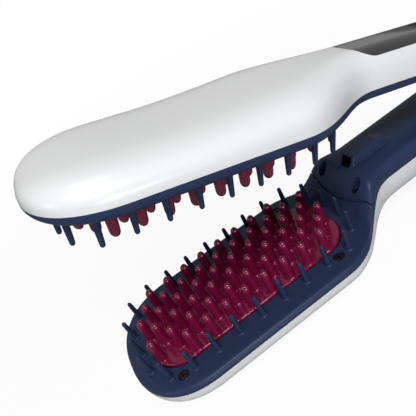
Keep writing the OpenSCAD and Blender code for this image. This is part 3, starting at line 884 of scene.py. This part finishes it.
def tooth_shape():
    """Bulbous tooth: steep towards the handle, sloped towards the head's tip."""
    foot = mm(sizes().tooth_foot)
    profile = [(0, -0.5), (TOOTH_R + foot, -0.5)] + flare(TOOTH_R, foot, 1.5, 4)
    profile += [*TOOTH_SIDE, TOOTH_TOP] + dome(*TOOTH_TOP, TOOTH_DOME, 8)
    tooth = turned(profile, sizes().round_steps)
    for v in tooth.verts:
        v.co.x *= TOOTH_SLOPE if v.co.x < 0 else 1
        v.co.y *= TOOTH_BROAD
    return tooth


def pin_places(arm):
    """Rows along both sides and an arc at each end."""
    first = arm.pin_first
    last = first + PIN_PITCH * (PIN_ROWS - 1)
    places = [(first + i * PIN_PITCH, s * PIN_Y, 0) for i in range(PIN_ROWS) for s in (-1, 1)]
    for arc, x, way in ((arm.tip_arc, first, -1), (arm.heel_arc, last, 1)):
        for dx, y in arc:
            places += [(x + way * dx, s * y, 0) for s in ((-1, 1) if y else (1,))]
    return places


def screw_bore(foot, seat, top, head_r):
    """Bore for a screw: its shank up to the seat, its head above."""
    shank = [(0, foot), (SHANK_BORE_R, foot), (SHANK_BORE_R, seat)]
    return turned(shank + [(head_r, seat), (head_r, top), (0, top)], 40)


class BRUSH_OT_bezels(Operator):
    """Rings round the brush plates, with their rows of spacer pins"""

    bl_idname = "brush.bezels"
    bl_label = "Bezels and pins"

    def execute(self, context):
        size = (PLATE_LEN + 2 * PLATE_GAP, PLATE_W + 2 * PLATE_GAP, PLATE_R + PLATE_GAP)
        long, wide = (half + FLANGE_GAP for half in FLANGE)
        for arm in ARMS:
            x = arm.plate_x
            bezel = solid(swept(arm, "face"))
            carve(bezel, seam_block(arm, head=False, gap=0))
            carve(bezel, prism(rounded(*size, x), -20, 20))
            carve(bezel, bar(x - long, x + long, wide, -9.0, FLANGE_TOP))
            hole = screw_bore(-9, BEZEL_SEAT, 8, BEZEL_SCREW[0] + PLAY)
            carve(bezel, copies(hole, [(x, y, 0) for x, y in arm.bezel_screws]))
            soften(bezel, mm(sizes().edge_round))
            add(bezel, copies(pin_shape(), pin_places(arm)))
            place(bezel, arm.name + "_pin_bezel", arm, "navy", arm.name + "_bezel")
        return {"FINISHED"}


class BRUSH_OT_plates(Operator):
    """Heated plates with staggered rows of round-topped teeth"""

    bl_idname = "brush.plates"
    bl_label = "Brush plates"

    def execute(self, context):
        x0 = -TOOTH_PITCH * TOOTH_MID
        y0 = ROW_PITCH * (len(TOOTH_ROWS) - 1) / 2
        teeth = [
            (x0 + TOOTH_PITCH * (i + start / 2), j * ROW_PITCH - y0, PLATE_RISE)
            for j, (count, start) in enumerate(TOOTH_ROWS)
            for i in range(count)
        ]
        long, wide = FLANGE
        for arm in ARMS:
            plate = solid(prism(rounded(PLATE_LEN, PLATE_W, PLATE_R), -3.0, PLATE_RISE))
            soften(plate, mm(sizes().plate_edge), segments=3)
            add(plate, bar(-long, long, wide, -4.5, FLANGE_TOP))
            add(plate, copies(tooth_shape(), teeth))
            plate.data.transform(Matrix.Translation((arm.plate_x, 0, 0)))
            name, node_name = arm.name + "_toothed_plate", arm.name + "_brush_plate"
            place(plate, name, arm, "coating", node_name)
        return {"FINISHED"}


def screw_shape(head_r, head_h, shank):
    """Pan head screw with a cross recess."""
    profile = [(0, -shank), (1.0, -shank), (1.25, -shank + 0.6), (1.25, 0), (head_r, 0)]
    profile += [(head_r, head_h * 0.5)]
    profile += [
        (head_r * (0.86 + 0.14 * cos(a)), head_h * (0.5 + 0.38 * sin(a))) for a in (0.5, 1.0, 1.5)
    ]
    profile += [(head_r * 0.5, head_h * 0.97), (0, head_h)]
    screw = turned(profile, 32)
    low, reach = head_h - mm(sizes().slot_depth), head_r * CROSS_REACH
    for x, y in ((reach, CROSS_HALF), (CROSS_HALF, reach)):
        screw = carved(screw, bar(-x, x, y, low, head_h + 1))
    return screw


def cover_points(arm):
    """Places of a handle cover's screws, in plan."""
    return [(x, s * y) for x, y in arm.cover_screws for s in (-1, 1)]


class BRUSH_OT_screws(Operator):
    """Cross-recess screws of the bezels and of the handle covers"""

    bl_idname = "brush.screws"
    bl_label = "Screws"

    def execute(self, context):
        for arm in ARMS:
            seat = arm.cover_seat
            heads = [(x, y, BEZEL_SEAT) for x, y in arm.bezel_screws]
            covers = [(x, y, part_z(arm, x) + seat) for x, y in cover_points(arm)]
            cover_screw = (WELL_R - 0.3, COVER_HEAD_H, COVER_SHANK + seat)
            for name, node_name, screw, places in (
                ("_head_screws", "_bezel_screws", BEZEL_SCREW, heads),
                ("_handle_screws", "_cover_screws", cover_screw, covers),
            ):
                piece = solid(copies(screw_shape(*screw), places))
                place(piece, arm.name + name, arm, "black", arm.name + node_name)
        return {"FINISHED"}


def screw_wells(arm):
    """Stepped bores of the cover's screws."""
    wells = []
    for x, y in cover_points(arm):
        z = part_z(arm, x)
        wells.append(shifted(screw_bore(z - 1, z + arm.cover_seat, z + 40, WELL_R), x, y))
    return together(*wells)


def hollow(arm):
    """Inside of a handle cover, less the bosses round its screws."""
    bosses = [
        shifted(rod(BOSS_R, part_z(arm, x) + 0.05, part_z(arm, x) + CLEAR, 32), x, y)
        for x, y in cover_points(arm)
    ]
    return carved(swept(arm, "face", arm.cover_wall, lift=2.0), together(*bosses))


def hood_shape():
    """Raised hood of the ion outlet: a wedge whose sides and ends lean in."""
    bm = bar(HOOD_FRONT, HOOD_REAR, HOOD_HALF, HOOD_FOOT, HOOD_TOP)
    middle_x, middle_z = HOOD_MIDDLE
    for v in bm.verts:
        if v.co.z > middle_z:
            v.co.y *= 1 - HOOD_LEAN * (HOOD_TOP - HOOD_FOOT) / HOOD_HALF
            v.co.x = HOOD_ROOF[0] if v.co.x < middle_x else HOOD_ROOF[1]
    edges = [e for e in bm.edges if max(v.co.z for v in e.verts) > middle_z]
    round_edges(bm, edges, HOOD_ROUND, segments=3, clamp=False)
    return bm


def hood_pockets():
    """Shallow pockets in the hood's leaning sides."""
    floor = HOOD_HALF - POCKET_DEPTH
    pockets = []
    for s in (-1, 1):
        pocket = across(prism(POCKET, floor, floor + 4))
        for v in pocket.verts:
            v.co.y = s * (abs(v.co.y) - HOOD_LEAN * (v.co.z - HOOD_FOOT))
        bmesh.ops.recalc_face_normals(pocket, faces=pocket.faces)
        pockets.append(pocket)
    return together(*pockets)


def cover_blank(arm):
    """Face of a handle, cut off at the seam."""
    cover = solid(swept(arm, "face"))
    carve(cover, seam_block(arm, head=True, gap=SEAM_GAP))
    return cover


class BRUSH_OT_lower_cover(Operator):
    """Inner cover of the lower handle, with the ion hood and the hinge ears"""

    bl_idname = "brush.lower_cover"
    bl_label = "Lower handle cover"

    def execute(self, context):
        arm = LOWER
        near, far = HINGE_X - KNUCKLE_R, HINGE_X + KNUCKLE_R
        cover = cover_blank(arm)
        carve(cover, hood_shape(), "UNION")
        carve(cover, hollow(arm))
        for s in (-1, 1):
            y = sorted((s * EAR_Y, s * EAR_END))
            carve(cover, across(rod(KNUCKLE_R, -y[1], -y[0], 72), HINGE_X, HINGE_RISE), "UNION")
            foot = block(near, far, *y, arm.part + EAR_LIFT, HINGE_RISE + EAR_LIFT)
            carve(cover, foot, "UNION")
        carve(cover, bar(near - KNUCKLE_ROOM, HINGE_X + 2 * CLEAR, EAR_Y, 5, 45))
        roof = OUTLET_FLOOR + OUTLET_H
        carve(cover, bar(HOOD_FRONT - 6, OUTLET_REAR, OUTLET_W / 2, OUTLET_FLOOR, roof))
        step = CAP_T + 0.1 - EAR_END
        seats = [(0, -CLEAR), (CAP_SEAT_R, -CLEAR), (CAP_SEAT_R, step), (PIN_BORE_R, step)]
        seats += [(r, -z) for r, z in reversed(seats)]
        sill = bar(HINGE_X - 9, HINGE_X + 9, CLEAR, 0, arm.part + CAP_LIP)
        carve(cover, carved(across(turned(seats, 48), HINGE_X, HINGE_RISE), sill))
        carve(cover, screw_wells(arm))
        carve(cover, shifted(rod(LAMP_R + PLAY, 0, 40), LAMP_X, 0))
        soften(cover, mm(sizes().edge_round))
        carve(cover, hood_pockets())
        place(cover, "lower_handle_cover", arm, "navy", "lower_cover")
        return {"FINISHED"}


class BRUSH_OT_upper_cover(Operator):
    """Inner cover of the upper handle, with the hood's pocket and the hinge knuckle"""

    bl_idname = "brush.upper_cover"
    bl_label = "Upper handle cover"

    def execute(self, context):
        arm = UPPER
        near, far, half = HINGE_X - KNUCKLE_R, HINGE_X + KNUCKLE_R, KNUCKLE_W / 2
        hinge_z, foot = HEAD_GAP - HINGE_RISE, arm.part + 0.3
        cover = cover_blank(arm)
        carve(cover, hollow(arm))
        (front, rear), t = TRAY, TRAY_WALL
        tray = bar(front - t, rear + t, TRAY_HALF + t, TRAY_FLOOR - t, TRAY_TOP)
        carve(cover, carved(tray, seam_block(arm, head=True, gap=SEAM_GAP)), "UNION")
        carve(cover, across(rod(KNUCKLE_R, -half, half, 72), HINGE_X, hinge_z), "UNION")
        web = [
            (near - WEB_RUN, foot),
            (HINGE_X + KNUCKLE_R * 0.5, foot),
            (far, hinge_z),
            (near, hinge_z),
            (near - 0.8, -1.2),
            (near - WEB_RUN, -2.0),
        ]
        carve(cover, across(prism(web, -half, half)), "UNION")
        carve(cover, bar(front, rear, TRAY_HALF, TRAY_FLOOR, 5))
        carve(cover, across(rod(PIN_BORE_R, -CLEAR, CLEAR), HINGE_X, hinge_z))
        room = rod(KNUCKLE_R + 1, -SPRING_ROOM, SPRING_ROOM, 64)
        carve(cover, across(room, HINGE_X, hinge_z))
        carve(cover, screw_wells(arm))
        carve(cover, copies(rod(BUMPER_R + 0.05, -2.4, 3), BUMPERS))
        soften(cover, mm(sizes().edge_round))
        place(cover, "upper_handle_cover", arm, "navy", "upper_cover")
        return {"FINISHED"}


class BRUSH_OT_inlay(Operator):
    """Glossy panel let into the upper handle, with its display window"""

    bl_idname = "brush.inlay"
    bl_label = "Inlay and display"

    def execute(self, context):
        arm = UPPER
        panel = solid(swept(arm, "back"))
        carve(panel, inlay_block(0), "INTERSECT")
        carve(panel, swept(arm, "back", INLAY_T, lift=3.0))
        long, y = DISPLAY_HALF
        x0, x1 = DISPLAY_X - long, DISPLAY_X + long
        gap, (outer, inner) = DISPLAY_GAP, DISPLAY_Z
        carve(panel, bar(x0 - gap, x1 + gap, y + gap, -22, inner))
        carve(panel, bar(x0 + 1, x1 - 1, y - 1, -22, -10))
        holes = [shifted(rod(r + PLAY, -22, -10), x, 0) for _, x, r in BUTTONS]
        carve(panel, together(*holes))
        soften(panel, mm(sizes().edge_round) * 0.8, angle=50)
        place(panel, "inlay_panel", arm, "inlay", "handle_inlay")
        window = solid(bar(x0, x1, y, outer, inner))
        soften(window, 0.2)
        place(window, "display_glass", arm, "glass", "display_window")
        return {"FINISHED"}


def button_shape(r):
    """Dished cap with a rim under the inlay and a stem down to its switch."""
    back = -UPPER.back
    top, rim, stem = back + BUTTON_RISE, back - INLAY_T - BUTTON_RIM, back - BUTTON_STEM
    rows = [(0, top - 0.28), (r * 0.45, top - 0.22), (r * 0.75, top - 0.08), (r - 0.35, top)]
    rows += [(r - 0.12, top - 0.08), (r, top - 0.3), (r, rim), (r + 0.5, rim), (r + 0.5, rim - 0.9)]
    rows += [(1.5, rim - 0.9), (1.5, stem), (0, stem)]
    return turned([(a, -z) for a, z in rows], 48)


def sign_shapes():
    """Plain power, plus and minus signs, standing on the dished caps."""
    arc = [radians(t) for t in range(-145, 146, 10)]
    outer = [(1.9 * cos(t), 1.9 * sin(t)) for t in arc]
    inner = [(1.45 * cos(t), 1.45 * sin(t)) for t in reversed(arc)]
    power = together(prism(outer + inner, *SIGN_Z), bar(-2.4, -0.6, 0.22, *SIGN_Z))
    stroke = bar(-SIGN_REACH, SIGN_REACH, SIGN_HALF, *SIGN_Z)
    plus = carved(stroke, bar(-SIGN_HALF, SIGN_HALF, SIGN_REACH, *SIGN_Z), "UNION")
    minus = bar(-SIGN_HALF, SIGN_HALF, SIGN_REACH, *SIGN_Z)
    return power, plus, minus


class BRUSH_OT_buttons(Operator):
    """Power button and the two temperature buttons, with their signs"""

    bl_idname = "brush.buttons"
    bl_label = "Buttons"

    def execute(self, context):
        for name, x, r in BUTTONS:
            cap = solid(shifted(button_shape(r), x, 0))
            body = name + "_button"
            place(cap, name + "_cap", UPPER, "button", body, body)
        for (name, x, _), shape in zip(BUTTONS, sign_shapes()):
            sign = solid(shifted(shape, x, 0))
            place(sign, name + "_sign", UPPER, "mark", None, name + "_button")
        return {"FINISHED"}


def spring_shape():
    """Coil round the hinge's axis, with a straight leg at each end."""
    turns, pitch, wire, coil_r, leg = 3.5, 1.75, 1.3, 3.5, 7
    steps = int(turns * 32)
    spring = bmesh.new()
    bmesh.ops.create_circle(spring, segments=12, radius=wire / 2)
    start = Matrix.Translation((0, -coil_r, -turns * pitch / 2))
    moved(spring, Matrix.Rotation(pi / 2, 4, "Y"), start)
    bmesh.ops.spin(
        spring,
        geom=list(spring.verts) + list(spring.edges),
        cent=(0, 0, 0),
        axis=(0, 0, 1),
        dvec=(0, 0, turns * pitch / steps),
        angle=2 * pi * turns,
        steps=steps,
    )
    open_edges = [e for e in spring.edges if e.is_boundary]
    legs = bmesh.ops.extrude_edge_only(spring, edges=open_edges)["geom"]
    tips = [v for v in legs if isinstance(v, bmesh.types.BMVert)]
    bmesh.ops.translate(spring, vec=(-leg, 0, 0), verts=tips)
    bmesh.ops.holes_fill(spring, edges=[e for e in spring.edges if e.is_boundary], sides=12)
    bmesh.ops.recalc_face_normals(spring, faces=spring.faces)
    return spring


class BRUSH_OT_hinge(Operator):
    """Caps of the hinge pin, the torsion spring and the soft stops"""

    bl_idname = "brush.hinge"
    bl_label = "Hinge"

    def execute(self, context):
        r, end = CAP_R, EAR_END
        cap = [(0, end - CAP_T), (r, end - CAP_T), (r, end - 0.35), (r - 0.12, end - 0.1)]
        cap += [(r - 0.4, end), (2.2, end), (1.9, end - 0.35), (0, end - 0.45)]
        pair = together(turned(cap, 48), turned([(r, -z) for r, z in cap], 48))
        caps = solid(across(pair, HINGE_X, HINGE_RISE))
        place(caps, "pin_caps", LOWER, "soft", "hinge_caps")

        coil = solid(across(spring_shape(), HINGE_X, HINGE_RISE))
        place(coil, "spring_coil", LOWER, "steel", "torsion_spring", angle=60)

        r = BUMPER_R
        stud = [(0, -2.3), (r, -2.3), (r, -0.7), (r - 0.15, -0.32), (r - 0.55, -0.15), (0, -0.15)]
        studs = solid(copies(turned(stud, 40), BUMPERS))
        place(studs, "soft_stops", UPPER, "rubber", "bumpers")
        return {"FINISHED"}


class BRUSH_OT_outlet(Operator):
    """Black nozzle in the ion outlet, red lamp lens and the swivelling cord gland"""

    bl_idname = "brush.outlet"
    bl_label = "Nozzle, lamp and cord gland"

    def execute(self, context):
        low, high, y = OUTLET_FLOOR + 0.05, OUTLET_FLOOR + OUTLET_H - 0.05, OUTLET_W / 2 - 0.05
        liner = bar(*LINER, y, low, high)
        for v in liner.verts:
            if v.co.x < HOOD_MIDDLE[0] and v.co.z > HOOD_MIDDLE[1]:
                v.co.x = LINER_BROW
        nozzle = solid(liner)
        lip, middle = LINER_LIP, (low + high) / 2
        carve(nozzle, bar(70, 80.5, y - lip, low + lip, high - lip))
        carve(nozzle, along(rod(1.3, 79, 82), 0, middle))
        carve(nozzle, along(rod(0.45, 79, 86), 0, middle))
        place(nozzle, "outlet_nozzle", LOWER, "duct", "ion_nozzle")

        flange, rim = LAMP_R + 1, LAMP_FOOT + 0.9
        profile = [(0, LAMP_FOOT), (flange, LAMP_FOOT), (flange, rim), (LAMP_R, rim)]
        profile += [(LAMP_R, LAMP_TOP - 0.35)] + dome(LAMP_R, LAMP_TOP - 0.35, 0.35, 5)
        lens = solid(shifted(turned(profile, 40), LAMP_X, 0))
        place(lens, "lamp_lens", LOWER, "lens", "ion_lamp")

        r, bore = GLAND_R, GLAND_BORE_R
        out = [(bore, 0), (6.4, 0), (6.4, 1.6), (r, 1.6), (r, 8.4)]
        for i in range(3):
            z = 8.6 + 1.15 * i
            out += [(r, z), (5.2, z + 0.15), (5.2, z + 0.55), (r, z + 0.7)]
        out += [(r, 12.0), (5.35, 12.3), (5.0, 12.4), (3.5, 12.4), (bore, 12.1), (bore, 0)]
        gland = solid(along(turned(out, 56), LOWER.rear - GLAND_RUN, GLAND_Z))
        place(gland, "gland_sleeve", LOWER, "navy", "cord_gland", "cord_gland")
        return {"FINISHED"}


class BRUSH_OT_inside(Operator):
    """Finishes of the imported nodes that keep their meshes"""

    bl_idname = "brush.inside"
    bl_label = "Inner parts"

    def execute(self, context):
        for side in ("lower_", "upper_"):
            dress("aluminium", side + "heat_spreader")
            dress("ceramic", side + "heater")
            dress("tray", side + "heater_tray")
        dress("board", "power_board", "control_board")
        dress("potting", "ion_generator")
        dress("brass", "ion_emitter")
        dress("steel", "button_switches", "hinge_pin")
        return {"FINISHED"}


# ---- stage

CAMERA_AT = (-0.02088177, -0.15199859, 0.16325052)
CAMERA_TURN = (52.12522707, 24.929273, -27.4867328)
CAMERA_LENS = 38.1957
SENSOR = 36.0
LAMPS = (
    # name, place, size x, size y, watts, colour
    ("key", (-0.04, -0.38, 0.68), 0.36, 0.21, 3.6, (1, 1, 1)),
    ("front", (-0.05, -0.85, 0.14), 0.50, 0.18, 2.5, (0.92, 0.95, 1.0)),
    ("side", (-0.70, -0.10, 0.42), 0.20, 0.20, 0.45, (1, 1, 1)),
    ("top", (0.05, 0.12, 0.85), 0.30, 0.30, 1.0, (1, 1, 1)),
)
LIT_POINT = Vector((0.04, 0.0, 0.04))
WORLD_LEVEL = 0.12
WORLD_MIRRORED = 0.35
FLOOR_FADE = (0.12, 0.5)
FLOOR_WHITE = (0.92, 1.0)


def show_white(tree, lit, white, mirrored=0.0):
    """White for the camera, also through clear parts, a share for reflections, else what is lit."""
    path = tree.nodes.new("ShaderNodeLightPath").outputs
    seen = reckoned(tree, "MULTIPLY", path["Is Glossy Ray"], mirrored)
    for ray in ("Is Transmission Ray", "Is Camera Ray"):
        seen = reckoned(tree, "MAXIMUM", seen, path[ray])
    return node(tree, "ShaderNodeMixShader", {0: seen, 1: lit, 2: white}).outputs[0]


class BRUSH_OT_stage(Operator):
    """Pale floor, soft lamps, plain world and the camera"""

    bl_idname = "brush.stage"
    bl_label = "Stage"

    def execute(self, context):
        scene = context.scene
        scene.view_settings.view_transform = "Standard"

        bm = bmesh.new()
        bmesh.ops.create_grid(bm, x_segments=1, y_segments=1, size=4)
        floor = solid(bm, "floor")
        material = bpy.data.materials.new("Pale Floor")
        material.use_nodes = True
        tree = material.node_tree
        bsdf = tree.nodes["Principled BSDF"]
        bsdf.inputs["Base Color"].default_value = (*scene.brush_colours.floor, 1)
        bsdf.inputs["Roughness"].default_value = 0.9
        bsdf.inputs["Specular IOR Level"].default_value = 0.1
        at = tree.nodes.new("ShaderNodeTexCoord").outputs["Object"]
        away = node(tree, "ShaderNodeVectorMath", {0: at}, operation="LENGTH").outputs["Value"]
        share = ranged(tree, away, *FLOOR_WHITE, *FLOOR_FADE)
        pale = node(tree, "ShaderNodeBsdfDiffuse", {"Color": (0.9, 0.9, 0.9, 1)}).outputs[0]
        white = node(tree, "ShaderNodeEmission", {"Strength": 1.0}).outputs[0]
        faded = node(tree, "ShaderNodeMixShader", {0: share, 1: pale, 2: white}).outputs[0]
        seen = show_white(tree, bsdf.outputs[0], faded)
        tree.links.new(seen, tree.nodes["Material Output"].inputs["Surface"])
        floor.data.materials.append(material)

        world = bpy.data.worlds.new("Soft Room")
        scene.world = world
        world.use_nodes = True
        tree = world.node_tree
        room = tree.nodes["Background"]
        room.inputs["Color"].default_value = (0.98, 0.985, 1.0, 1)
        room.inputs["Strength"].default_value = WORLD_LEVEL
        white = node(tree, "ShaderNodeBackground", {"Color": (1, 1, 1, 1), "Strength": 1.0})
        seen = show_white(tree, room.outputs[0], white.outputs[0], WORLD_MIRRORED)
        tree.links.new(seen, tree.nodes["World Output"].inputs["Surface"])

        for name, at, size_x, size_y, watts, tint in LAMPS:
            light = bpy.data.lights.new(name, "AREA")
            light.shape = "RECTANGLE"
            light.size, light.size_y, light.energy = size_x, size_y, watts
            light.color = tint
            lamp = bpy.data.objects.new(name, light)
            lamp.location = at
            lamp.rotation_euler = (LIT_POINT - Vector(at)).to_track_quat("-Z", "Y").to_euler()
            scene.collection.objects.link(lamp)

        lens = bpy.data.cameras.new("camera")
        lens.lens = CAMERA_LENS
        lens.sensor_width = SENSOR
        lens.clip_start = 0.005
        camera = bpy.data.objects.new("camera", lens)
        camera.location = CAMERA_AT
        camera.rotation_euler = [radians(a) for a in CAMERA_TURN]
        scene.collection.objects.link(camera)
        scene.camera = camera
        return {"FINISHED"}


class BRUSH_PT_panel(Panel):
    """Lists the pieces and their settings"""

    bl_idname = "BRUSH_PT_panel"
    bl_label = "Hair Straightening Brush"
    bl_space_type = "VIEW_3D"
    bl_region_type = "UI"
    bl_category = "Brush"

    def draw(self, context):
        for settings in (context.scene.brush_sizes, context.scene.brush_colours):
            box = self.layout.box()
            for name in settings.bl_rna.properties.keys():
                if name not in ("rna_type", "name"):
                    box.prop(settings, name)
        for step in STEPS:
            self.layout.operator(step.bl_idname)


STEPS = (
    BRUSH_OT_stage,
    BRUSH_OT_casings,
    BRUSH_OT_bezels,
    BRUSH_OT_plates,
    BRUSH_OT_screws,
    BRUSH_OT_lower_cover,
    BRUSH_OT_upper_cover,
    BRUSH_OT_inlay,
    BRUSH_OT_buttons,
    BRUSH_OT_hinge,
    BRUSH_OT_outlet,
    BRUSH_OT_inside,
)
CLASSES = (BrushSizes, BrushColours, *STEPS, BRUSH_PT_panel)


def register():
    for c in CLASSES:
        bpy.utils.register_class(c)
    bpy.types.Scene.brush_sizes = PointerProperty(type=BrushSizes)
    bpy.types.Scene.brush_colours = PointerProperty(type=BrushColours)


def unregister():
    del bpy.types.Scene.brush_colours
    del bpy.types.Scene.brush_sizes
    for c in reversed(CLASSES):
        bpy.utils.unregister_class(c)


def main():
    register()
    FINISH.update(make_finishes())
    for step in STEPS:
        part, name = step.bl_idname.split(".")
        getattr(getattr(bpy.ops, part), name)()


if __name__ == "__main__":
    main()
